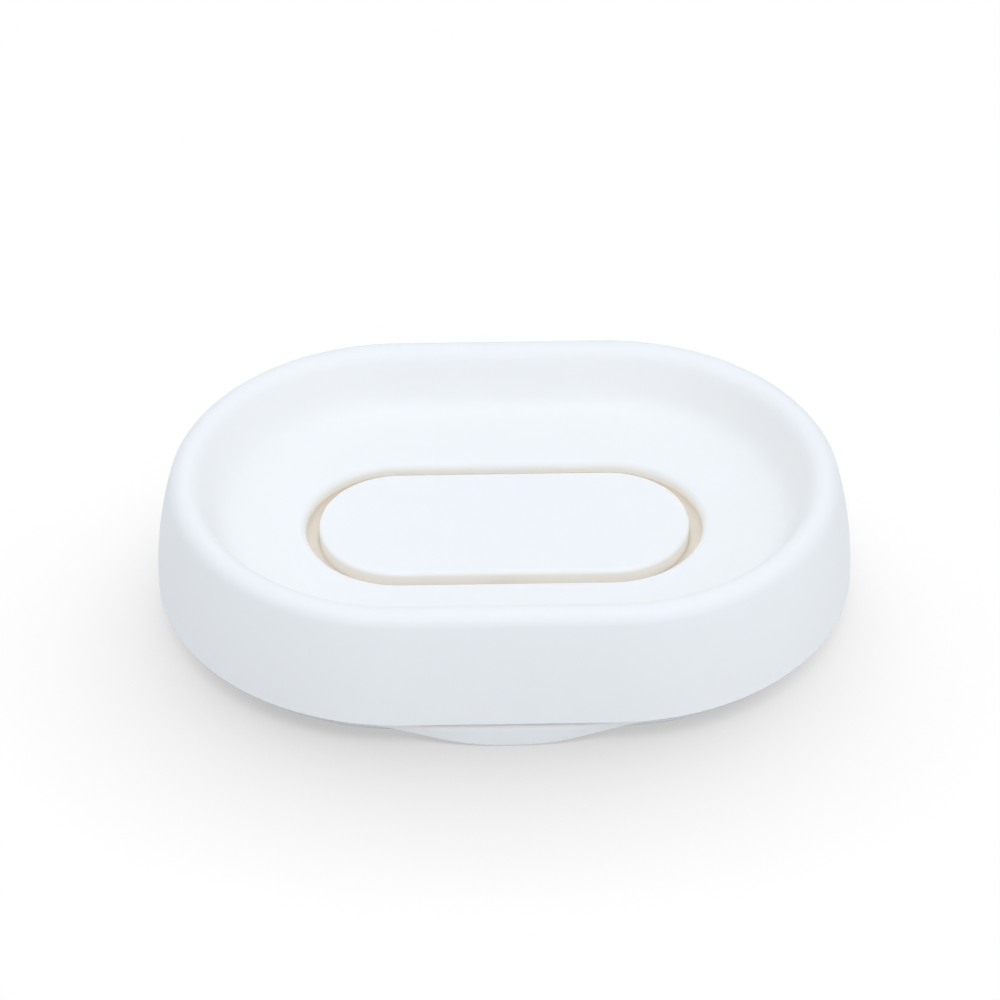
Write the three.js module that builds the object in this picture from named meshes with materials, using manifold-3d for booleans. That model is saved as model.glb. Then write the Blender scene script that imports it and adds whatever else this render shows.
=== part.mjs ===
// Draining soap dish: a bowl with a drain opening, a loose soap rest standing in it, a tray with a pouring lip
// that carries both, and four pads under the tray. Millimetres, +Z up, standing on z = 0, lip towards -Y.
// Every outline is a stadium: all points at one distance from a straight spine that lies along X.
import * as THREE from 'three';
import { mergeVertices } from 'three/addons/utils/BufferGeometryUtils.js';
import Module from 'manifold-3d';

const wasm = await Module();
wasm.setup();

// Outer body
const SPINE_LENGTH = 39; // straight stretch of every outline
const SKIRT_RADIUS = 45.5; // spine to the outside of the skirt's lower edge
const RIM_HEIGHT = 26.4; // counter to the top of the rim
const SKIRT_RISE = 4.2; // counter to the skirt's lower edge
const SKIRT_WALL = 3; // skirt's wall below the seat
const SKIRT_EDGE_ROUND = 0.6;
const WALL_BOW = 75; // radius of the outer wall's slight bow
const RIM_OUTER_ROUND = 2.5;
const RIM_INNER_ROUND = 3.2;

// Inside of the bowl
const RIM_SLOPE = 62; // degrees, bowl wall just under the rim
const FLOOR_SLOPE = 3; // degrees, bowl floor where it meets the opening
const WALL_EASE = 9; // length over which the wall keeps its slope
const FLOOR_EASE = 17; // length over which the floor keeps its slope
const FLOOR_HEIGHT = 14.6; // counter to the bowl floor at the opening
const FLOOR_THICKNESS = 2.25;
const OPENING_RADIUS = 17.6; // spine to the side of the drain opening
const OPENING_ROUND = 0.9;
const OPENING_CHAMFER = 0.4;

// Soap rest
const DRAIN_GAP = 2.5; // open ring between the rest and the opening
const REST_PROUD = 0.3; // top of the rest above the bowl floor
const REST_ROUND = 0.7;
const REST_TOP = 3;
const REST_WALL = 2.4;

// Drain tray
const SEAT_HEIGHT = 9; // counter to the face that the bowl sits on
const TRAY_WALL = 2.2;
const FIT_CLEARANCE = 0.3; // between pieces that slide into each other
const PAN_FALL = 2; // degrees, pan's floor towards the lip
const PAN_THICKNESS = 1.6;
const PLINTH_HEIGHT = 9.3; // counter to the face that the soap rest sits on
const PLINTH_MARGIN = 1; // plinth beyond the edge of the drain opening
const PLINTH_WALL = 2;
const GUTTER_WALL = 1.8; // round the plinth, up to just below the bowl's floor
const GUTTER_OUTLET = 30; // gap in the gutter's wall that lets the water into the pan
const SPIGOT_HEIGHT = 0.8; // ridge that keeps the soap rest in place

// Pouring lip
const LIP_WIDTH = 64;
const LIP_REACH = 1.6; // past the front of the skirt
const LIP_INSET = 1.6; // behind the skirt at the lip's two ends
const LIP_GAP = 0.5; // slit under the skirt that the water comes out of
const LIP_KNEE = 0.2; // where the lip turns down, behind the skirt's edge and its own nose
const LIP_LOW = 0.3; // counter to the lowest point of the lip
const LIP_THICKNESS = 1;
const OUTLET_WIDTH = 44; // notch in the tray's wall that lets the water out

// Pads under the tray
const FOOT_PROUD = 0.8; // pad below the tray
const FOOT_RECESS = 0.8; // pad inside its recess
const FOOT_DIAMETER = 9;
const FOOT_CHAMFER = 0.3;
const FOOT_INSET = 9.5; // middle of a pad to the inside of the tray's wall
const FOOT_ANGLE = 53; // degrees, place of a pad round the tray's end
const BOSS_WALL = 1.5;

// Facets
const ARC_STEPS = 20; // each round end of a stadium
const CURVE_STEPS = 10; // the bowl's inner curve
const ROUND_STEPS = 4; // small roundings
const CIRCLE_STEPS = 24; // pads and their recesses
const LIP_STEPS = 24; // across the lip

// Sizes that follow from the ones above
const spineHalf = SPINE_LENGTH / 2;
const wallRadius = SKIRT_RADIUS - SKIRT_WALL - FIT_CLEARANCE; // outside of the tray's wall
const panRadius = wallRadius - TRAY_WALL;
const restRadius = OPENING_RADIUS - DRAIN_GAP;
const restHeight = FLOOR_HEIGHT + REST_PROUD;
const plinthRadius = OPENING_RADIUS + PLINTH_MARGIN;
const gutterRadius = plinthRadius + GUTTER_WALL;
const gutterTop = FLOOR_HEIGHT - FLOOR_THICKNESS - FIT_CLEARANCE;
const lipHalf = LIP_WIDTH / 2;
const panFront = SKIRT_RISE - LIP_GAP; // counter to the pan's floor at its front
const fall = Math.tan(THREE.MathUtils.degToRad(PAN_FALL));

const white = { metalness: 0 };
const bowlMaterial = new THREE.MeshStandardMaterial({ ...white, color: '#f3f5f7', roughness: 0.62 });
const restMaterial = new THREE.MeshStandardMaterial({ ...white, color: '#f4f6f8', roughness: 0.6 });
const trayMaterial = new THREE.MeshStandardMaterial({ ...white, color: '#eef1f3', roughness: 0.6 });
const footMaterial = new THREE.MeshStandardMaterial({ ...white, color: '#d9dcdd', roughness: 0.85 });

// Height of the pan's floor, which falls towards the front.
function panFloor(y) {
  return panFront + (y + panRadius) * fall;
}

// Front edge of a stadium at one x.
function frontOf(radius, x) {
  const past = Math.max(Math.abs(x) - spineHalf, 0);
  return -Math.sqrt(radius * radius - past * past);
}

// Points on an arc in the section plane, angles in radians, both ends included.
function arc(centre, radius, from, to, steps) {
  const points = [];
  for (let i = 0; i <= steps; i += 1) {
    const angle = from + ((to - from) * i) / steps;
    points.push([centre[0] + radius * Math.cos(angle), centre[1] + radius * Math.sin(angle)]);
  }
  return points;
}

function meshFrom(positions, triangles) {
  const geometry = new THREE.BufferGeometry();
  geometry.setAttribute('position', new THREE.Float32BufferAttribute(positions, 3));
  geometry.setIndex(triangles);
  return geometry;
}

// Carry a section of [distance from the spine, height] points once round the spine.
// The section runs anticlockwise. A closed one makes a ring; an open one gets a flat face at both ends.
function sweep(section, closed) {
  const positions = [];
  const triangles = [];
  const columns = 2 * (ARC_STEPS + 1);
  const count = section.length;
  for (let column = 0; column < columns; column += 1) {
    const end = column <= ARC_STEPS ? 0 : 1;
    const angle = -Math.PI / 2 + end * Math.PI + ((column - end * (ARC_STEPS + 1)) * Math.PI) / ARC_STEPS;
    const middle = end === 0 ? spineHalf : -spineHalf;
    for (const [radius, height] of section) {
      positions.push(middle + radius * Math.cos(angle), radius * Math.sin(angle), height);
    }
  }
  for (let column = 0; column < columns; column += 1) {
    const here = column * count;
    const next = ((column + 1) % columns) * count;
    for (let i = 0; i < (closed ? count : count - 1); i += 1) {
      const after = (i + 1) % count;
      triangles.push(here + i, next + i, next + after, here + i, next + after, here + after);
    }
    if (!closed && column > 0 && column < columns - 1) {
      triangles.push(0, next, here);
      triangles.push(count - 1, here + count - 1, next + count - 1);
    }
  }
  return meshFrom(positions, triangles);
}

// A plate with a stadium outline, whose lower and upper faces follow two functions of y.
function plate(radius, lower, upper) {
  const geometry = sweep([[radius, 0], [radius, 1]], false);
  const position = geometry.attributes.position;
  for (let i = 0; i < position.count; i += 1) {
    const face = position.getZ(i) < 0.5 ? lower : upper;
    position.setZ(i, face(position.getY(i)));
  }
  return geometry;
}

function cylinder(diameter, bottom, top, x, y) {
  const geometry = new THREE.CylinderGeometry(diameter / 2, diameter / 2, top - bottom, CIRCLE_STEPS);
  geometry.rotateX(Math.PI / 2);
  geometry.translate(x, y, (top + bottom) / 2);
  return geometry;
}

function solidOf(geometry) {
  const bare = geometry.clone();
  bare.deleteAttribute('normal');
  bare.deleteAttribute('uv');
  const merged = mergeVertices(bare);
  return new wasm.Manifold(new wasm.Mesh({
    numProp: 3,
    vertProperties: new Float32Array(merged.attributes.position.array),
    triVerts: new Uint32Array(merged.index.array),
  }));
}

function geometryOf(solid) {
  const mesh = solid.getMesh();
  return meshFrom(Array.from(mesh.vertProperties), Array.from(mesh.triVerts));
}

// The bowl's inner curve from under the rim to the floor at the opening, as points with upward normals.
function innerCurve(start, wallSlope) {
  const floorSlope = THREE.MathUtils.degToRad(FLOOR_SLOPE);
  const end = new THREE.Vector2(OPENING_RADIUS + OPENING_ROUND, FLOOR_HEIGHT);
  const wall = new THREE.Vector2(-Math.cos(wallSlope), -Math.sin(wallSlope));
  const floor = new THREE.Vector2(Math.cos(floorSlope), Math.sin(floorSlope));
  const curve = new THREE.CubicBezierCurve(
    start,
    start.clone().addScaledVector(wall, WALL_EASE),
    end.clone().addScaledVector(floor, FLOOR_EASE),
    end,
  );
  const points = [];
  for (let i = 0; i <= CURVE_STEPS; i += 1) {
    const point = curve.getPoint(i / CURVE_STEPS);
    const along = curve.getTangent(i / CURVE_STEPS);
    points.push({ point, normal: new THREE.Vector2(along.y, -along.x) });
  }
  return points;
}

// One moulding: bowed skirt, round rim, bowl and floor, hollow underneath, with an inner seat for the tray.
function dishBowl() {
  // The outer wall is an arc that stands upright at the skirt's lower edge and runs into the rim.
  const edgeTop = SKIRT_RISE + SKIRT_EDGE_ROUND;
  const reach = WALL_BOW - RIM_OUTER_ROUND;
  const lean = Math.asin((RIM_HEIGHT - RIM_OUTER_ROUND - edgeTop) / reach);
  const bowCentre = [SKIRT_RADIUS - WALL_BOW, edgeTop];
  const crest = [bowCentre[0] + reach * Math.cos(lean), RIM_HEIGHT - RIM_OUTER_ROUND];
  const skirtEdge = arc([SKIRT_RADIUS - SKIRT_EDGE_ROUND, edgeTop], SKIRT_EDGE_ROUND, -Math.PI / 2, 0, ROUND_STEPS);
  const wall = arc(bowCentre, WALL_BOW, 0, lean, ROUND_STEPS);
  const rimOutside = arc(crest, RIM_OUTER_ROUND, lean, Math.PI / 2, ROUND_STEPS);

  const wallSlope = THREE.MathUtils.degToRad(RIM_SLOPE);
  const rimInside = arc([crest[0], RIM_HEIGHT - RIM_INNER_ROUND],
    RIM_INNER_ROUND, Math.PI / 2, Math.PI / 2 + wallSlope, ROUND_STEPS);
  const bowl = innerCurve(new THREE.Vector2(...rimInside.pop()), wallSlope);

  const floorBottom = FLOOR_HEIGHT - FLOOR_THICKNESS;
  const openingEdge = arc([OPENING_RADIUS + OPENING_ROUND, FLOOR_HEIGHT - OPENING_ROUND],
    OPENING_ROUND, Math.PI / 2, Math.PI, ROUND_STEPS);
  const underside = bowl
    .map(({ point, normal }) => point.clone().addScaledVector(normal, -FLOOR_THICKNESS))
    .filter((point) => point.x > OPENING_RADIUS + OPENING_CHAMFER && point.x < panRadius)
    .sort((a, b) => a.x - b.x);
  const cavityTop = underside[underside.length - 1].y;

  return sweep([
    [SKIRT_RADIUS - SKIRT_WALL, SKIRT_RISE],
    ...skirtEdge,
    ...wall.slice(1),
    ...rimOutside.slice(1),
    ...rimInside.slice(1),
    ...bowl.map(({ point }) => [point.x, point.y]),
    ...openingEdge.slice(1),
    [OPENING_RADIUS, floorBottom + OPENING_CHAMFER],
    [OPENING_RADIUS + OPENING_CHAMFER, floorBottom],
    ...underside.map((point) => [point.x, point.y]),
    [panRadius, cavityTop],
    [panRadius, SEAT_HEIGHT],
    [SKIRT_RADIUS - SKIRT_WALL, SEAT_HEIGHT],
  ], true);
}

// A cap with a flat top and round edge, hollow underneath, that stands on the tray's plinth.
function soapRest() {
  const hollow = restRadius - REST_WALL;
  return sweep([
    [hollow, restHeight - REST_TOP],
    [hollow, PLINTH_HEIGHT],
    [restRadius, PLINTH_HEIGHT],
    ...arc([restRadius - REST_ROUND, restHeight - REST_ROUND], REST_ROUND, 0, Math.PI / 2, ROUND_STEPS),
  ], false);
}

// The lip comes out close under the skirt and turns down to the counter, most in the middle and not at all at
// its two ends. Its underside runs back to the foot of the tray's wall.
function pouringLip() {
  const positions = [];
  const triangles = [];
  const half = LIP_THICKNESS / 2;
  const count = ROUND_STEPS + 5;
  for (let station = 0; station <= LIP_STEPS; station += 1) {
    const x = -lipHalf + (LIP_WIDTH * station) / LIP_STEPS;
    const swell = THREE.MathUtils.smootherstep(lipHalf - Math.abs(x), 0, lipHalf);
    const noseRadius = SKIRT_RADIUS - LIP_INSET - half + swell * (LIP_INSET + LIP_REACH);
    const nose = [frontOf(noseRadius, x), panFront - half + swell * (LIP_LOW + LIP_THICKNESS - panFront)];
    const knee = frontOf(Math.min(SKIRT_RADIUS, noseRadius) - LIP_KNEE, x);
    const root = frontOf(panRadius + TRAY_WALL / 4, x);
    const slope = Math.atan2(panFront - half - nose[1], knee - nose[0]);
    const section = [
      [root, panFront],
      [knee, panFront],
      ...arc(nose, half, Math.PI / 2 + slope, (3 * Math.PI) / 2, ROUND_STEPS),
      [frontOf(wallRadius, x), FOOT_PROUD],
      [root, FOOT_PROUD],
    ];
    for (const [y, z] of section) {
      positions.push(x, y, z);
    }
  }
  for (let station = 0; station < LIP_STEPS; station += 1) {
    const here = station * count;
    const next = here + count;
    for (let i = 0; i < count; i += 1) {
      const after = (i + 1) % count;
      triangles.push(here + i, here + after, next + after, here + i, next + after, next + i);
    }
  }
  const last = LIP_STEPS * count;
  for (let i = 1; i < count - 1; i += 1) {
    triangles.push(0, i + 1, i);
    triangles.push(last, last + i, last + i + 1);
  }
  return meshFrom(positions, triangles);
}

function footPlaces() {
  const places = [];
  const angle = THREE.MathUtils.degToRad(FOOT_ANGLE);
  const alongX = spineHalf + (panRadius - FOOT_INSET) * Math.cos(angle);
  const alongY = (panRadius - FOOT_INSET) * Math.sin(angle);
  for (const [row, y] of [['front', -alongY], ['back', alongY]]) {
    for (const [side, x] of [['left', -alongX], ['right', alongX]]) {
      places.push({ name: `foot_${row}_${side}`, x, y });
    }
  }
  return places;
}

// A shallow pan with a sloping floor, an upright wall for the bowl, a plinth for the soap rest and the lip.
// A low wall round the plinth makes a gutter under the drain ring, with an outlet to the pan at the front.
function drainTray() {
  const middleOfPan = (y) => panFloor(y) - PAN_THICKNESS / 2;
  let tray = solidOf(sweep([
    [panRadius, FOOT_PROUD],
    [wallRadius, FOOT_PROUD],
    [wallRadius, SEAT_HEIGHT],
    [panRadius, SEAT_HEIGHT],
  ], true));

  // The notch stops inside the lip, which becomes its sill.
  const notchBottom = panFront - LIP_THICKNESS / 2;
  const notchDepth = 3 * TRAY_WALL;
  const notch = new THREE.BoxGeometry(OUTLET_WIDTH, notchDepth, 2 * (SEAT_HEIGHT - notchBottom));
  notch.translate(0, -(panRadius + wallRadius) / 2, SEAT_HEIGHT);
  tray = tray.subtract(solidOf(notch));

  const panEdge = panRadius + TRAY_WALL / 2;
  tray = tray.add(solidOf(plate(panEdge, (y) => panFloor(y) - PAN_THICKNESS, panFloor)));
  let plinth = solidOf(plate(gutterRadius, middleOfPan, () => gutterTop));
  plinth = plinth.subtract(solidOf(plate(plinthRadius, () => PLINTH_HEIGHT, () => gutterTop + GUTTER_WALL)));
  const outlet = new THREE.BoxGeometry(GUTTER_OUTLET, 3 * GUTTER_WALL, 2 * (gutterTop - PLINTH_HEIGHT));
  outlet.translate(0, -(plinthRadius + gutterRadius) / 2, gutterTop);
  tray = tray.add(plinth.subtract(solidOf(outlet)));

  const spigotRadius = restRadius - REST_WALL - FIT_CLEARANCE;
  tray = tray.add(solidOf(plate(spigotRadius, middleOfPan, () => PLINTH_HEIGHT + SPIGOT_HEIGHT)));
  tray = tray.add(solidOf(pouringLip()));

  const plinthHollow = plate(gutterRadius - PLINTH_WALL, () => 0, () => PLINTH_HEIGHT - PLINTH_WALL);
  tray = tray.subtract(solidOf(plinthHollow));

  for (const { x, y } of footPlaces()) {
    const recess = FOOT_DIAMETER + 2 * FIT_CLEARANCE;
    tray = tray.add(solidOf(cylinder(recess + 2 * BOSS_WALL, FOOT_PROUD, middleOfPan(y), x, y)));
    tray = tray.subtract(solidOf(cylinder(recess, 0, FOOT_PROUD + FOOT_RECESS, x, y)));
  }
  return geometryOf(tray);
}

function footPad() {
  const radius = FOOT_DIAMETER / 2;
  const thickness = FOOT_PROUD + FOOT_RECESS;
  const profile = [
    new THREE.Vector2(0, 0),
    new THREE.Vector2(radius - FOOT_CHAMFER, 0),
    new THREE.Vector2(radius, FOOT_CHAMFER),
    new THREE.Vector2(radius, thickness),
    new THREE.Vector2(0, thickness),
  ];
  const geometry = new THREE.LatheGeometry(profile, CIRCLE_STEPS);
  geometry.rotateX(Math.PI / 2);
  return geometry;
}

function piece(name, geometry, material) {
  const mesh = new THREE.Mesh(geometry, material);
  mesh.name = name;
  return mesh;
}

const dish = new THREE.Group();
dish.add(piece('dish_bowl', dishBowl(), bowlMaterial));
dish.add(piece('soap_rest', soapRest(), restMaterial));
dish.add(piece('drain_tray', drainTray(), trayMaterial));
for (const { name, x, y } of footPlaces()) {
  const pad = piece(name, footPad(), footMaterial);
  pad.position.set(x, y, 0);
  dish.add(pad);
}

// The origin is the middle of the whole footprint, lip included.
dish.position.y = LIP_REACH / 2;
const group = new THREE.Group();
group.add(dish);

export default group;
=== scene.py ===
import math

import bmesh
import bpy
from mathutils import Matrix, Vector


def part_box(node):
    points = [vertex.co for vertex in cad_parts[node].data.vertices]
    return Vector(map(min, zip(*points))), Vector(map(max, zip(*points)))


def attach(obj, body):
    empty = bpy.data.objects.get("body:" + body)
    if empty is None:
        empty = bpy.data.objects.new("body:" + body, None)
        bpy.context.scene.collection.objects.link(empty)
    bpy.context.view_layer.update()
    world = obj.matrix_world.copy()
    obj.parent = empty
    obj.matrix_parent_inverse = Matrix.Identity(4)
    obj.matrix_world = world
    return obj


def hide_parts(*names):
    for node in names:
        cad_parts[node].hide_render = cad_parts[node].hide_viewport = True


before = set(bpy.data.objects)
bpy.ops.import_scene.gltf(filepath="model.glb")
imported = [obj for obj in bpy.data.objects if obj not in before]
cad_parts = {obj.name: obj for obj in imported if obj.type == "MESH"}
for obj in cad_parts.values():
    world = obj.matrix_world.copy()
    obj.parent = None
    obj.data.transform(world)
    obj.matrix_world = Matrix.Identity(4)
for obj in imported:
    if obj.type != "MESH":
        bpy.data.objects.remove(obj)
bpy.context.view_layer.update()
scene = bpy.context.scene
scene.view_settings.view_transform = "Standard"
lightBounces = 24  # white walls in a narrow ring pass light on many times
scene.cycles.diffuse_bounces = lightBounces
scene.cycles.max_bounces = lightBounces
print("frame loaded:", len(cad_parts), "solids")

mm = 0.001  # the dictionaries are in millimetres, the scene is in metres

# every outline of the dish is a stadium, one distance from a straight spine along x
bowlLow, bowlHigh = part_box("dish_bowl")
restLow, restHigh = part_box("soap_rest")
trayLow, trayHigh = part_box("drain_tray")
skirtRadius = (bowlHigh.y - bowlLow.y) / 2 / mm
spineHalf = (bowlHigh.x - bowlLow.x) / 2 / mm - skirtRadius
middleY = (bowlHigh.y + bowlLow.y) / 2 / mm
restRadius = (restHigh.y - restLow.y) / 2 / mm
wallRadius = (trayHigh.x - trayLow.x) / 2 / mm - spineHalf  # outside of the tray's wall

facets = {
    "endSteps": 80,  # round each end of a stadium
    "straightSteps": 28,  # along each straight side
    "roundSteps": 8,  # small roundings
    "edgeSteps": 4,  # tiny roundings that hardly show
    "curveSteps": 44,  # the inside of the bowl
    "lipSteps": 96,  # across the pouring lip
    "padSteps": 48,  # round a pad
    "padEdgeSteps": 5,
    "mergeGap": 0.0005,  # points closer than this are one
}


def linear(hexColour):
    # sRGB hex to the linear values that the shader works in
    channels = [int(hexColour[i:i + 2], 16) / 255 for i in (1, 3, 5)]
    return [c / 12.92 if c <= 0.04045 else ((c + 0.055) / 1.055) ** 2.4 for c in channels] + [1.0]


def addNode(tree, kind, settings, links):
    # one node: settings go to its sockets or properties, links to its inputs
    node = tree.nodes.new(kind)
    for key, value in settings.items():
        if key in node.inputs:
            node.inputs[key].default_value = value
        else:
            setattr(node, key, value)
    for key, source in links.items():
        tree.links.new(source, node.inputs[key])
    return node


def smoothStep(value, low, high):
    t = min(max((value - low) / (high - low), 0.0), 1.0)
    return t * t * t * (t * (6 * t - 15) + 10)


def arcPoints(centre, radius, start, stop, steps):
    # section points on an arc, angles in degrees, both ends included
    points = []
    for step in range(steps + 1):
        angle = math.radians(start + (stop - start) * step / steps)
        points.append((centre[0] + radius * math.cos(angle), centre[1] + radius * math.sin(angle)))
    return points


def frontOf(radius, x):
    # front edge of a stadium at one x
    past = max(abs(x) - spineHalf, 0.0)
    return -math.sqrt(radius * radius - past * past)


def placesRound():
    # places round a stadium, each with its point on the spine and its direction from there
    places = []
    for side in (1, -1):
        for step in range(facets["endSteps"] + 1):
            angle = math.pi * (step / facets["endSteps"] - side / 2)
            places.append((side * spineHalf, math.cos(angle), math.sin(angle)))
        for step in range(1, facets["straightSteps"]):
            places.append((side * spineHalf * (1 - 2 * step / facets["straightSteps"]), 0.0, float(side)))
    return places


def sweepRound(section, closed):
    # carry a section of (distance from the spine, height) once round the spine
    # a height may be a function of y, and an open section starts and ends on the spine
    shape = bmesh.new()
    rings = []
    for middle, across, along in placesRound():
        ring = []
        for radius, height in section:
            y = radius * along
            z = height(y) if callable(height) else height
            ring.append(shape.verts.new(((middle + radius * across) * mm, (y + middleY) * mm, z * mm)))
        rings.append(ring)
    count = len(section)
    for index, ring in enumerate(rings):
        after = rings[(index + 1) % len(rings)]
        for i in range(count if closed else count - 1):
            j = (i + 1) % count
            shape.faces.new((ring[i], after[i], after[j], ring[j]))
    bmesh.ops.remove_doubles(shape, verts=shape.verts, dist=facets["mergeGap"] * mm)
    bmesh.ops.recalc_face_normals(shape, faces=shape.faces)
    return shape


def meshObject(name, shape):
    mesh = bpy.data.meshes.new(name)
    shape.to_mesh(mesh)
    shape.free()
    for polygon in mesh.polygons:
        polygon.use_smooth = True
    thing = bpy.data.objects.new(name, mesh)
    scene.collection.objects.link(thing)
    return thing


def combine(thing, other, operation):
    # join or cut with another shape, which is used up
    step = thing.modifiers.new("combine", "BOOLEAN")
    step.operation = operation
    step.solver = "EXACT"
    step.object = other
    done = bpy.data.meshes.new_from_object(thing.evaluated_get(bpy.context.evaluated_depsgraph_get()))
    thing.modifiers.remove(step)
    thing.data = done
    bpy.data.objects.remove(other)


def settle(piece, node, body, material, creaseAngle):
    # finish a piece: crisp edges where it turns sharply, its material, its body and the solid it stands for
    mesh = piece.data
    mesh.materials.clear()
    mesh.materials.append(material)
    for polygon in mesh.polygons:
        polygon.use_smooth = True
    mesh.set_sharp_from_angle(angle=math.radians(creaseAngle))
    even = piece.modifiers.new("evenNormals", "WEIGHTED_NORMAL")
    even.keep_sharp = True
    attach(piece, body)
    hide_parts(node)
    print("piece", piece.name, "has", len(mesh.polygons), "faces")


# ABS, injection moulded against a fine spark-eroded mould: white with soft wide highlights,
# a little light going into the edges, and a grain that only shows as an even, dull skin
def mouldedAbs(look):
    material = bpy.data.materials.new(look["name"])
    material.use_nodes = True
    tree = material.node_tree
    tree.nodes.clear()
    place = addNode(tree, "ShaderNodeTexCoord", {}, {}).outputs["Object"]

    # flow marks of the moulding: broad, barely visible changes of tone
    flow = addNode(tree, "ShaderNodeTexNoise",
                   {"Scale": 1 / (look["flowSize"] * mm), "Detail": 3.0, "Roughness": 0.55},
                   {"Vector": place}).outputs["Fac"]
    colour = addNode(tree, "ShaderNodeMix", {"data_type": "RGBA"}, {0: flow})
    colour.inputs[6].default_value = linear(look["colour"])
    colour.inputs[7].default_value = linear(look["flowColour"])
    if "paintedGapShadeColour" in look:
        # painted shade: a warmer, darker tone on the gutter, which is the highest part of the tray, stands in
        # for the warm shade deep in the ring round the soap rest
        height = addNode(tree, "ShaderNodeSeparateXYZ", {}, {"Vector": place}).outputs["Z"]
        paintedGapShade = addNode(tree, "ShaderNodeMapRange",
                       {"From Min": look["paintedGapShadeFrom"] * mm, "From Max": look["paintedGapShadeFull"] * mm},
                       {"Value": height}).outputs["Result"]
        unshadedColour = colour.outputs[2]
        colour = addNode(tree, "ShaderNodeMix", {"data_type": "RGBA"}, {0: paintedGapShade, 6: unshadedColour})
        colour.inputs[7].default_value = linear(look["paintedGapShadeColour"])

    # mould grain of this kind is about 0.05 mm, and is drawn coarser because that would not show
    grain = addNode(tree, "ShaderNodeTexNoise",
                    {"Scale": 1 / (look["grainSize"] * mm), "Detail": 2.0, "Roughness": 0.6},
                    {"Vector": place}).outputs["Fac"]
    bump = addNode(tree, "ShaderNodeBump",
                   {"Strength": look["grainStrength"], "Distance": look["grainDepth"] * mm},
                   {"Height": grain}).outputs["Normal"]
    dull = addNode(tree, "ShaderNodeMapRange",
                   {"To Min": look["roughness"] - look["roughnessSpread"],
                    "To Max": look["roughness"] + look["roughnessSpread"]},
                   {"Value": flow}).outputs["Result"]
    skin = addNode(tree, "ShaderNodeBsdfPrincipled",
                   {"IOR": look["ior"], "Subsurface Weight": look["scatter"],
                    "Subsurface Radius": [depth * mm for depth in look["scatterDepths"]],
                    "Subsurface Scale": 1.0},
                   {"Base Color": colour.outputs[2], "Roughness": dull, "Normal": bump})
    addNode(tree, "ShaderNodeOutputMaterial", {}, {"Surface": skin.outputs["BSDF"]})
    return material


bowlFinish = {
    "name": "absMouldedMatteWhite",
    "colour": "#fefcf6",
    "flowColour": "#fdfaf4",
    "flowSize": 9.0,
    "grainSize": 0.35,
    "grainDepth": 0.02,
    "grainStrength": 0.25,
    "roughness": 0.55,
    "roughnessSpread": 0.04,
    "ior": 1.53,
    "scatter": 0.2,
    "scatterDepths": (1.6, 1.5, 1.4),
}
restFinish = dict(bowlFinish, name="absMouldedMatteWhiteRest")
# painted shade: the tray is the bowl's white made greyer, standing in for the shade on the pouring lip under
# the skirt
trayFinish = dict(bowlFinish, name="absMouldedMatteWhiteShadedTray", colour="#eeebe6", flowColour="#ece9e4",
                  # the gutter colour here is painted shade for the ring round the soap rest
                  paintedGapShadeColour="#f3ebde", paintedGapShadeFrom=10.2, paintedGapShadeFull=10.8)
bowlPlastic = mouldedAbs(bowlFinish)
restPlastic = mouldedAbs(restFinish)
trayPlastic = mouldedAbs(trayFinish)

# silicone rubber, moulded: soft grey-white that dulls and darkens with dust in its pores
padFinish = {
    "name": "siliconeMouldedDull",
    "colour": "#d6d8d8",
    "dustColour": "#c2c1bc",
    "dustSize": 1.6,
    "roughness": 0.8,
    "ior": 1.41,
    "grainSize": 0.4,
    "grainDepth": 0.03,
}


def mouldedSilicone(look):
    material = bpy.data.materials.new(look["name"])
    material.use_nodes = True
    tree = material.node_tree
    tree.nodes.clear()
    place = addNode(tree, "ShaderNodeTexCoord", {}, {}).outputs["Object"]
    dust = addNode(tree, "ShaderNodeTexNoise",
                   {"Scale": 1 / (look["dustSize"] * mm), "Detail": 4.0}, {"Vector": place}).outputs["Fac"]
    colour = addNode(tree, "ShaderNodeMix", {"data_type": "RGBA"}, {0: dust})
    colour.inputs[6].default_value = linear(look["colour"])
    colour.inputs[7].default_value = linear(look["dustColour"])
    grain = addNode(tree, "ShaderNodeTexNoise",
                    {"Scale": 1 / (look["grainSize"] * mm), "Detail": 2.0}, {"Vector": place}).outputs["Fac"]
    bump = addNode(tree, "ShaderNodeBump", {"Strength": 0.3, "Distance": look["grainDepth"] * mm},
                   {"Height": grain}).outputs["Normal"]
    skin = addNode(tree, "ShaderNodeBsdfPrincipled", {"IOR": look["ior"], "Roughness": look["roughness"]},
                   {"Base Color": colour.outputs[2], "Normal": bump})
    addNode(tree, "ShaderNodeOutputMaterial", {}, {"Surface": skin.outputs["BSDF"]})
    return material


padRubber = mouldedSilicone(padFinish)
print("materials ready")

bowl = {
    "edgeRound": 0.25,  # lower edge of the skirt
    "skirtDrop": 0.45,  # that edge hangs this much lower than the solid's
    "wallFoot": 0.6,  # height above the solid's edge where the bow begins
    "skirtWall": 3.0,
    "wallBow": 75.0,  # radius of the outer wall's slight bow
    "rimOuterRound": 2.9,
    "rimInnerRound": 3.2,
    "rimSlope": 62.0,  # degrees, just under the rim
    "floorSlope": 3.0,  # degrees, where the floor meets the opening
    "wallEase": 9.0,
    "floorEase": 17.0,
    "floorHeight": 14.9,
    "floorThickness": 2.55,
    "openingRadius": 17.6,
    "openingRound": 1.5,
    "openingChamfer": 0.4,
    "seatHeight": 9.0,
    "cavityRadius": 40.0,
    "innerRound": 0.8,  # fillets that are only seen from below
    "innerLift": 0.4,  # brings the fillet up to the curve under the floor
    "underGap": 0.2,  # from the chamfer to the first point of that curve
    "crease": 50,  # degrees
}


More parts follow.
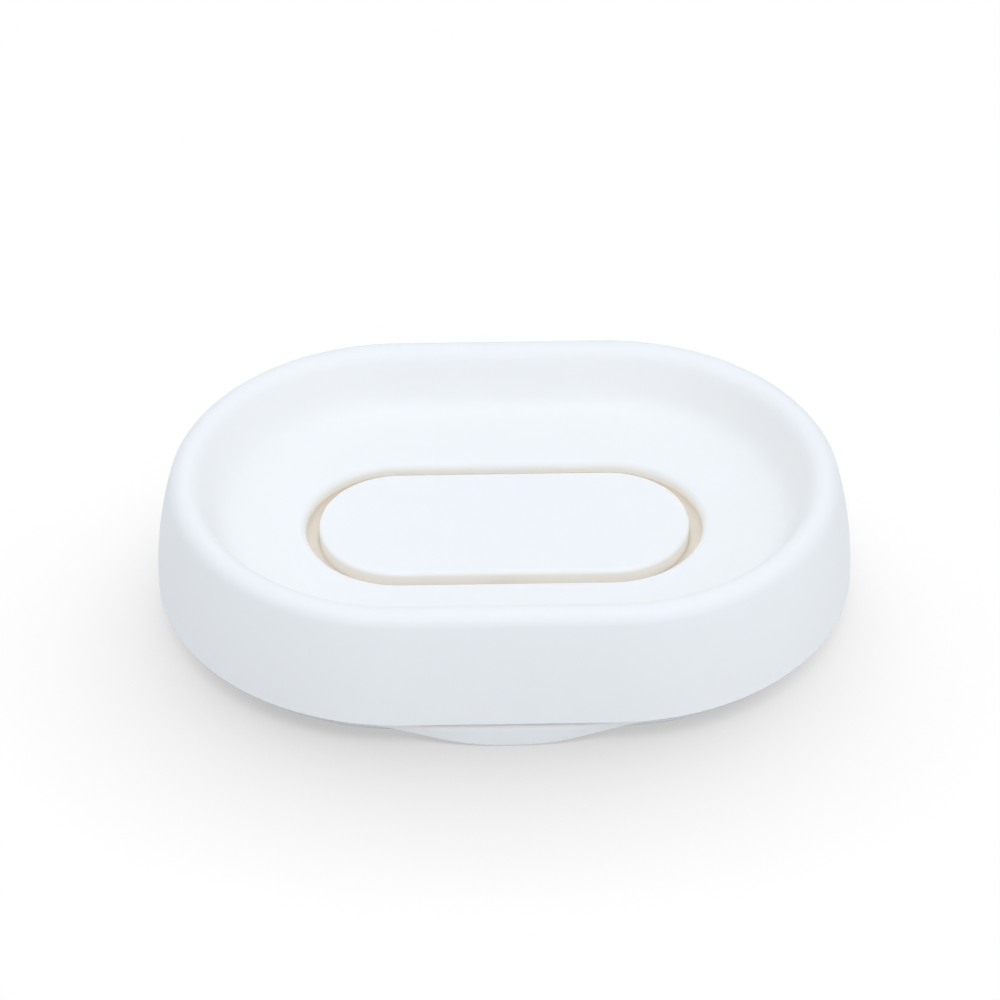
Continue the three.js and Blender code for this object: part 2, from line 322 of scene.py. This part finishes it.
def bowlCurve(start):
    # inside of the bowl from under the rim to the floor at the opening, with the way that each point faces
    slope = math.radians(bowl["rimSlope"])
    floor = math.radians(bowl["floorSlope"])
    end = Vector((bowl["openingRadius"] + bowl["openingRound"], bowl["floorHeight"]))
    handleA = start - Vector((math.cos(slope), math.sin(slope))) * bowl["wallEase"]
    handleB = end + Vector((math.cos(floor), math.sin(floor))) * bowl["floorEase"]
    points = []
    for step in range(facets["curveSteps"] + 1):
        t = step / facets["curveSteps"]
        s = 1 - t
        point = start * s ** 3 + handleA * 3 * s * s * t + handleB * 3 * s * t * t + end * t ** 3
        along = (handleA - start) * s * s + (handleB - handleA) * 2 * s * t + (end - handleB) * t * t
        along.normalize()
        points.append((point, Vector((along.y, -along.x))))
    return points


def makeBowl():
    rise = bowlLow.z / mm - bowl["skirtDrop"]
    top = bowlHigh.z / mm
    steps = facets["roundSteps"]
    edgeTop = bowlLow.z / mm + bowl["wallFoot"]
    reach = bowl["wallBow"] - bowl["rimOuterRound"]
    lean = math.degrees(math.asin((top - bowl["rimOuterRound"] - edgeTop) / reach))
    bowCentre = (skirtRadius - bowl["wallBow"], edgeTop)
    crest = (bowCentre[0] + reach * math.cos(math.radians(lean)), top - bowl["rimOuterRound"])
    inside = skirtRadius - bowl["skirtWall"]

    edgeCentre = (skirtRadius - bowl["edgeRound"], rise + bowl["edgeRound"])
    section = [(inside, rise)]
    section += arcPoints(edgeCentre, bowl["edgeRound"], -90, 0, steps)
    section += arcPoints(bowCentre, bowl["wallBow"], 0, lean, 2 * steps)
    section += arcPoints(crest, bowl["rimOuterRound"], lean, 90, 2 * steps)[1:]
    rimInside = arcPoints((crest[0], top - bowl["rimInnerRound"]), bowl["rimInnerRound"],
                          90, 90 + bowl["rimSlope"], 2 * steps)
    section += rimInside[1:-1]
    curve = bowlCurve(Vector(rimInside[-1]))
    section += [(point.x, point.y) for point, facing in curve]

    floorBottom = bowl["floorHeight"] - bowl["floorThickness"]
    openingCentre = (bowl["openingRadius"] + bowl["openingRound"], bowl["floorHeight"] - bowl["openingRound"])
    section += arcPoints(openingCentre, bowl["openingRound"], 90, 180, steps)[1:]
    chamferCentre = (bowl["openingRadius"] + bowl["openingChamfer"], floorBottom + bowl["openingChamfer"])
    section += arcPoints(chamferCentre, bowl["openingChamfer"], 180, 270, facets["edgeSteps"])
    fillet = bowl["innerRound"]
    nearest = bowl["openingRadius"] + bowl["openingChamfer"] + bowl["underGap"]
    farthest = bowl["cavityRadius"] - fillet
    under = [point - facing * bowl["floorThickness"] for point, facing in curve]
    under = sorted((p for p in under if nearest < p.x < farthest), key=lambda p: p.x)
    section += [(p.x, p.y) for p in under]
    filletCentre = (farthest, under[-1].y - fillet + bowl["innerLift"])
    section += arcPoints(filletCentre, fillet, 60, 0, facets["edgeSteps"])
    section += [(bowl["cavityRadius"], bowl["seatHeight"]), (inside, bowl["seatHeight"])]
    return meshObject("dishBowl", sweepRound(section, True))


dishBowl = makeBowl()
settle(dishBowl, "dish_bowl", "bowl", bowlPlastic, bowl["crease"])

rest = {
    "topRound": 0.9,
    "topThickness": 3.0,
    "wall": 2.4,
    "footRound": 0.3,
    "topRings": 5,  # evenly spaced rows of faces across the flat top
    "crease": 50,  # degrees
}


def makeRest():
    low = restLow.z / mm
    top = restHigh.z / mm
    hollow = restRadius - rest["wall"]
    ceiling = top - rest["topThickness"]
    flat = restRadius - rest["topRound"]
    rows = range(rest["topRings"])
    section = [(hollow * i / rest["topRings"], ceiling) for i in rows]
    section += [(hollow, ceiling), (hollow, low)]
    foot = rest["footRound"]
    section += arcPoints((restRadius - foot, low + foot), foot, -90, 0, facets["edgeSteps"])
    section += arcPoints((flat, top - rest["topRound"]), rest["topRound"], 0, 90, 2 * facets["roundSteps"])
    section += [(flat * (1 - (i + 1) / rest["topRings"]), top) for i in rows]
    return meshObject("soapRest", sweepRound(section, False))


soapRest = makeRest()
settle(soapRest, "soap_rest", "rest", restPlastic, rest["crease"])

tray = {
    "wall": 2.2,
    "seatHeight": 9.0,
    "edgeRound": 0.4,
    "panFrontHeight": 3.7,
    "panFall": 2.0,  # degrees, towards the lip
    "panThickness": 1.6,
    "panFillet": 1.0,
    "plinthHeight": 9.3,
    "plinthRadius": 18.0,
    "plinthWall": 2.0,
    "gutterWall": 2.4,  # round the plinth
    "gutterHeight": 12.3,
    "gutterFloor": 10.9,
    "gutterFillet": 0.9,
    "gutterOutlet": 3.0,  # shallow notch at the front that lets the water into the pan
    "curbFillet": 0.8,  # inside of the gutter, up the foot of the soap rest
    "curbGap": 0.04,
    "spigotHeight": 0.8,
    "spigotClearance": 0.3,
    "lipWidth": 64.0,
    "lipReach": 1.58,  # past the skirt in the middle
    "lipInset": 1.6,  # behind the skirt at the lip's two ends
    "lipKnee": 0.05,  # past the skirt, where the lip turns down
    "lipTop": 3.45,  # close under the skirt
    "lipNose": 0.3,
    "lipLow": 0.05,  # lowest point of the lip
    "outletWidth": 44.0,  # gap in the tray's wall behind the lip
    "sillDrop": 0.5,  # that gap goes this much below the front of the pan's floor
    "bossWall": 1.5,
    "padClearance": 0.3,
    "padRecess": 0.8,
    "recessFrom": -1.0,  # the cut for a recess starts below the tray
    "kneeBefore": 0.25,  # share of the way back to the wall over which the lip starts to bend
    "kneeBeyond": 0.4,  # share of the way down to the nose over which it stops
    "crease": 35,  # degrees
}

panRadius = wallRadius - tray["wall"]
trayFoot = trayLow.z / mm
padNames = ("foot_front_left", "foot_front_right", "foot_back_left", "foot_back_right")


def panFloor(y):
    return tray["panFrontHeight"] + (y + panRadius) * math.tan(math.radians(tray["panFall"]))


def panUnder(y):
    return panFloor(y) - tray["panThickness"]


def above(height, rise):
    # the same slope, a little higher
    return lambda y: height(y) + rise


def trayShell():
    steps = facets["edgeSteps"]
    edge = tray["edgeRound"]
    fillet = tray["panFillet"]
    seat = tray["seatHeight"]
    plinth = tray["plinthRadius"]
    plinthTop = tray["plinthHeight"]
    spigot = restRadius - rest["wall"] - tray["spigotClearance"]
    spigotTop = plinthTop + tray["spigotHeight"]
    gutter = plinth + tray["gutterWall"]
    hollow = gutter - tray["plinthWall"]
    ceiling = plinthTop - tray["plinthWall"]

    section = [(0.0, ceiling), (hollow / 2, ceiling), (hollow, ceiling), (hollow, panUnder)]
    section += [(panRadius, panUnder), (panRadius, trayFoot)]
    section += arcPoints((wallRadius - edge, trayFoot + edge), edge, -90, 0, steps)
    section += arcPoints((wallRadius - edge, seat - edge), edge, 0, 90, steps)
    section += arcPoints((panRadius + edge, seat - edge), edge, 90, 180, steps)
    for radius, rise in arcPoints((panRadius - fillet, fillet), fillet, 0, -90, steps):
        section.append((radius, above(panFloor, rise)))
    for radius, rise in arcPoints((gutter + fillet, fillet), fillet, -90, -180, steps):
        section.append((radius, above(panFloor, rise)))
    section += arcPoints((gutter - edge, tray["gutterHeight"] - edge), edge, 0, 90, steps)
    section += arcPoints((plinth + edge, tray["gutterHeight"] - edge), edge, 90, 180, steps)
    trough = tray["gutterFillet"]
    gutterFloor = tray["gutterFloor"]
    section += arcPoints((plinth - trough, gutterFloor + trough), trough, 0, -90, facets["roundSteps"])
    curb = restRadius + tray["curbGap"]
    bend = tray["curbFillet"]
    section += arcPoints((curb + bend, gutterFloor + bend), bend, -90, -180, facets["roundSteps"])
    section += [(curb, plinthTop), (spigot, plinthTop)]
    section += arcPoints((spigot - edge, spigotTop - edge), edge, 0, 90, steps)
    section += [(spigot / 2, spigotTop), (0.0, spigotTop)]
    return meshObject("drainTray", sweepRound(section, False))


def pouringLip():
    # comes out close under the skirt and turns down to the counter, most in the middle
    shape = bmesh.new()
    tip = tray["lipNose"]
    lipHalf = tray["lipWidth"] / 2
    top = tray["lipTop"]
    sections = []
    for station in range(facets["lipSteps"] + 1):
        x = lipHalf * (2 * station / facets["lipSteps"] - 1)
        swell = smoothStep(lipHalf - abs(x), 0.0, lipHalf)
        noseRadius = skirtRadius - tray["lipInset"] - tip + swell * (tray["lipInset"] + tray["lipReach"])
        nose = Vector((frontOf(noseRadius, x), top - tip + swell * (tray["lipLow"] + 2 * tip - top)))
        knee = Vector((frontOf(min(skirtRadius + tray["lipKnee"], noseRadius), x), top))
        root = Vector((frontOf(panRadius + tray["wall"] / 4, x), top))
        slope = math.degrees(math.atan2(top - tip - nose.y, knee.x - nose.x))
        noseArc = arcPoints(nose, tip, 90 + slope, 270, 2 * facets["roundSteps"])
        before = knee.lerp(root, tray["kneeBefore"])
        beyond = knee.lerp(Vector(noseArc[0]), tray["kneeBeyond"])
        points = [root]
        for i in range(facets["roundSteps"] + 1):
            t = i / facets["roundSteps"]
            points.append(before.lerp(knee, t).lerp(knee.lerp(beyond, t), t))
        points += noseArc
        points += [(frontOf(wallRadius, x), trayFoot), (root.x, trayFoot)]
        sections.append([shape.verts.new((x * mm, (y + middleY) * mm, z * mm)) for y, z in points])
    for here, after in zip(sections, sections[1:]):
        for i in range(len(here)):
            j = (i + 1) % len(here)
            shape.faces.new((here[i], here[j], after[j], after[i]))
    shape.faces.new(list(reversed(sections[0])))
    shape.faces.new(sections[-1])
    bmesh.ops.recalc_face_normals(shape, faces=shape.faces)
    return meshObject("pouringLip", shape)


def frontNotch(width, radius, wall, low, high):
    # block that cuts a gap right through an upright wall at the front, between two heights
    shape = bmesh.new()
    size = Matrix.Diagonal((width * mm, 3 * wall * mm, (high - low) * mm, 1.0))
    spot = Vector((0.0, (middleY - radius - wall / 2) * mm, (low + high) / 2 * mm))
    bmesh.ops.create_cube(shape, size=1.0, matrix=Matrix.Translation(spot) @ size)
    return meshObject("frontNotch", shape)


def roundBlock(name, spot, radius, low, high):
    shape = bmesh.new()
    middle = Vector((spot.x, spot.y, (low + high) / 2 * mm))
    bmesh.ops.create_cone(shape, cap_ends=True, segments=facets["padSteps"], radius1=radius * mm,
                          radius2=radius * mm, depth=(high - low) * mm, matrix=Matrix.Translation(middle))
    return meshObject(name, shape)


def makeTray():
    shell = trayShell()
    sill = tray["panFrontHeight"] - tray["sillDrop"]
    openTop = tray["seatHeight"] + tray["wall"]
    combine(shell, frontNotch(tray["outletWidth"], panRadius, tray["wall"], sill, openTop), "DIFFERENCE")
    notchFoot = tray["gutterFloor"] + tray["edgeRound"]
    combine(shell, frontNotch(tray["gutterOutlet"], tray["plinthRadius"], tray["gutterWall"],
                              notchFoot, tray["gutterHeight"] + tray["wall"]), "DIFFERENCE")
    combine(shell, pouringLip(), "UNION")
    for padName in padNames:
        low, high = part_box(padName)
        spot = (low + high) / 2
        recess = (high.x - low.x) / 2 / mm + tray["padClearance"]
        bossTop = (panFloor(spot.y / mm - middleY) + panUnder(spot.y / mm - middleY)) / 2
        recessTop = trayFoot + tray["padRecess"]
        combine(shell, roundBlock("boss", spot, recess + tray["bossWall"], trayFoot, bossTop), "UNION")
        combine(shell, roundBlock("recess", spot, recess, tray["recessFrom"], recessTop), "DIFFERENCE")
    return shell


drainTray = makeTray()
settle(drainTray, "drain_tray", "tray", trayPlastic, tray["crease"])

pad = {
    "edgeRound": 0.35,
    "dish": 0.12,  # hollow in the pad's underside
    "dishFlat": (0.45, 0.8),  # share of the radius up to which it is nearly flat, and of the depth there
    "dishEdge": 0.75,  # share of the radius where it ends
    "backChamfer": 0.1,
    "crease": 50,  # degrees
}


def makePad(name, node):
    low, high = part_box(node)
    spot = (low + high) / 2
    radius = (high.x - low.x) / 2 / mm
    thick = (high.z - low.z) / mm
    edge = pad["edgeRound"]
    chamfer = pad["backChamfer"]
    flat = (radius * pad["dishFlat"][0], pad["dish"] * pad["dishFlat"][1])
    profile = [(0.0, pad["dish"]), flat, (radius * pad["dishEdge"], 0.0)]
    profile += arcPoints((radius - edge, edge), edge, -90, 0, facets["padEdgeSteps"])
    profile += [(radius, thick - chamfer), (radius - chamfer, thick), (0.0, thick)]
    shape = bmesh.new()
    columns = []
    for step in range(facets["padSteps"]):
        angle = 2 * math.pi * step / facets["padSteps"]
        across = mm * math.cos(angle)
        along = mm * math.sin(angle)
        columns.append([shape.verts.new((spot.x + r * across, spot.y + r * along, low.z + z * mm))
                        for r, z in profile])
    for index, column in enumerate(columns):
        after = columns[(index + 1) % len(columns)]
        for i in range(len(profile) - 1):
            shape.faces.new((column[i], after[i], after[i + 1], column[i + 1]))
    bmesh.ops.remove_doubles(shape, verts=shape.verts, dist=facets["mergeGap"] * mm)
    bmesh.ops.recalc_face_normals(shape, faces=shape.faces)
    thing = meshObject(name, shape)
    settle(thing, node, "tray", padRubber, pad["crease"])


for padName in padNames:
    makePad("pad" + "".join(word.capitalize() for word in padName.split("_")[1:]), padName)

counter = {
    "span": 3.0,  # metres
    "bounceColour": "#eeeeee",
    "paintedShadowFrom": (0.18, 0.69, 0.70),  # direction of a wide soft light behind, which the painted shadow falls away from
    "paintedShadowReach": 50.0,
    "paintedShadowDepth": 0.39,
    "openFrom": 0.935,  # share of that light from which the counter counts as open
}


def makeCounter():
    # plain white counter with a painted soft shadow of the dish, a little greyer in the light it throws back
    shape = bmesh.new()
    bmesh.ops.create_grid(shape, x_segments=2, y_segments=2, size=counter["span"] / 2)
    thing = meshObject("counter", shape)
    material = bpy.data.materials.new("paintedBoardMatteWhite")
    material.use_nodes = True
    tree = material.node_tree
    tree.nodes.clear()
    away = addNode(tree, "ShaderNodeCombineXYZ", dict(zip("XYZ", counter["paintedShadowFrom"])), {}).outputs[0]
    # painted shadow: ambient occlusion leaned towards the back darkens the white that the camera sees
    paintedShade = addNode(tree, "ShaderNodeAmbientOcclusion",
                    {"samples": 16, "Distance": counter["paintedShadowReach"] * mm}, {"Normal": away}).outputs["AO"]
    share = addNode(tree, "ShaderNodeMapRange",
                    {"From Max": counter["openFrom"]}, {"Value": paintedShade}).outputs[0]
    tone = addNode(tree, "ShaderNodeGamma", {"Gamma": counter["paintedShadowDepth"]}, {"Color": share}).outputs[0]
    seen = addNode(tree, "ShaderNodeEmission", {}, {"Color": tone}).outputs[0]
    paint = addNode(tree, "ShaderNodeBsdfDiffuse", {"Color": linear(counter["bounceColour"])}, {}).outputs[0]
    path = addNode(tree, "ShaderNodeLightPath", {}, {}).outputs
    shown = addNode(tree, "ShaderNodeMath", {"operation": "MAXIMUM"},
                    {0: path["Is Camera Ray"], 1: path["Is Glossy Ray"]}).outputs[0]
    shown = addNode(tree, "ShaderNodeMath", {"operation": "MAXIMUM"},
                    {0: shown, 1: path["Is Transmission Ray"]}).outputs[0]
    pick = addNode(tree, "ShaderNodeMixShader", {}, {0: shown, 1: paint, 2: seen}).outputs[0]
    addNode(tree, "ShaderNodeOutputMaterial", {}, {"Surface": pick})
    thing.data.materials.append(material)


makeCounter()

room = {
    "colour": "#edf4ff",
    "level": 0.56,  # share of the counter's brightness that comes from all round
    "seenColour": "#ffffff",  # what the camera sees behind the counter
}


def makeRoom():
    world = bpy.data.worlds.new("whiteRoom")
    scene.world = world
    world.use_nodes = True
    tree = world.node_tree
    tree.nodes.clear()
    path = addNode(tree, "ShaderNodeLightPath", {}, {})
    glow = addNode(tree, "ShaderNodeBackground",
                   {"Color": linear(room["colour"]), "Strength": room["level"]}, {})
    seen = addNode(tree, "ShaderNodeBackground",
                   {"Color": linear(room["seenColour"]), "Strength": 1.0}, {})
    pick = addNode(tree, "ShaderNodeMixShader", {},
                   {0: path.outputs["Is Camera Ray"], 1: glow.outputs[0], 2: seen.outputs[0]})
    addNode(tree, "ShaderNodeOutputWorld", {}, {"Surface": pick.outputs[0]})


makeRoom()

# each softbox has the room's colour: where it hangs in metres, its size,
# and the share of the counter's brightness that it gives
softboxes = {
    "overhead": {"place": (0.0, 0.0, 1.0), "size": 0.6, "level": 0.196},
    "behind": {"place": (0.0, 1.05, 0.65), "size": 0.8, "level": 0.045},
    "left": {"place": (-0.8, 0.0, 0.95), "size": 0.8, "level": 0.098},
    "right": {"place": (0.8, 0.0, 0.95), "size": 0.8, "level": 0.065},
    "front": {"place": (0.0, -0.8, 0.95), "size": 0.8, "level": 0.09},
    "frontRight": {"place": (0.85, -0.85, 0.5), "size": 0.8, "level": 0.05},
}


def hangSoftboxes():
    for name, box in softboxes.items():
        lamp = bpy.data.lights.new(name, "AREA")
        lamp.size = box["size"]
        lamp.color = linear(room["colour"])[:3]
        spot = Vector(box["place"])
        # power that gives that share on the level counter
        lamp.energy = box["level"] * math.pi ** 2 * spot.length ** 3 / spot.z
        thing = bpy.data.objects.new(name, lamp)
        thing.location = spot
        thing.rotation_euler = spot.to_track_quat("Z", "Y").to_euler()
        scene.collection.objects.link(thing)


hangSoftboxes()
print("counter and lights ready")

view = {
    "pictureWidth": 1000,  # pixels
    "aimPixel": (504.272, 566.285),  # where the middle of the skirt's lower edge lies in the picture
    "pixelsPerMm": 5.3136,  # at that point
    "distance": 1029.5,
    "elevation": 37.976,  # degrees
    "turn": 1.069,  # degrees that the dish is turned against the camera
    "roll": 0.15,
    "sensor": 36.0,
    "nearest": 0.05,  # metres
    "farthest": 20.0,
}


def placeCamera():
    lens = bpy.data.cameras.new("camera")
    lens.sensor_width = view["sensor"]
    lens.lens = view["sensor"] * view["pixelsPerMm"] * view["distance"] / view["pictureWidth"]
    lens.clip_start = view["nearest"]
    lens.clip_end = view["farthest"]
    tilt = math.radians(view["elevation"])
    right = Vector((1.0, 0.0, 0.0))
    up = Vector((0.0, math.sin(tilt), math.cos(tilt)))
    ahead = Vector((0.0, math.cos(tilt), -math.sin(tilt)))
    acrossBy = (view["aimPixel"][0] - view["pictureWidth"] / 2) / view["pixelsPerMm"]
    upBy = (view["pictureWidth"] / 2 - view["aimPixel"][1]) / view["pixelsPerMm"]
    spot = -right * acrossBy - up * upBy - ahead * view["distance"]
    lean = Matrix.Rotation(math.radians(view["roll"]), 3, ahead)
    turn = Matrix.Rotation(math.radians(-view["turn"]), 3, "Z")
    axes = [turn @ (lean @ axis) for axis in (right, up, -ahead)]
    aim = Vector((0.0, middleY, bowlLow.z / mm))
    thing = bpy.data.objects.new("camera", lens)
    thing.matrix_world = Matrix.Translation((aim + turn @ spot) * mm) @ Matrix(axes).transposed().to_4x4()
    scene.collection.objects.link(thing)
    scene.camera = thing


placeCamera()
print("camera ready")
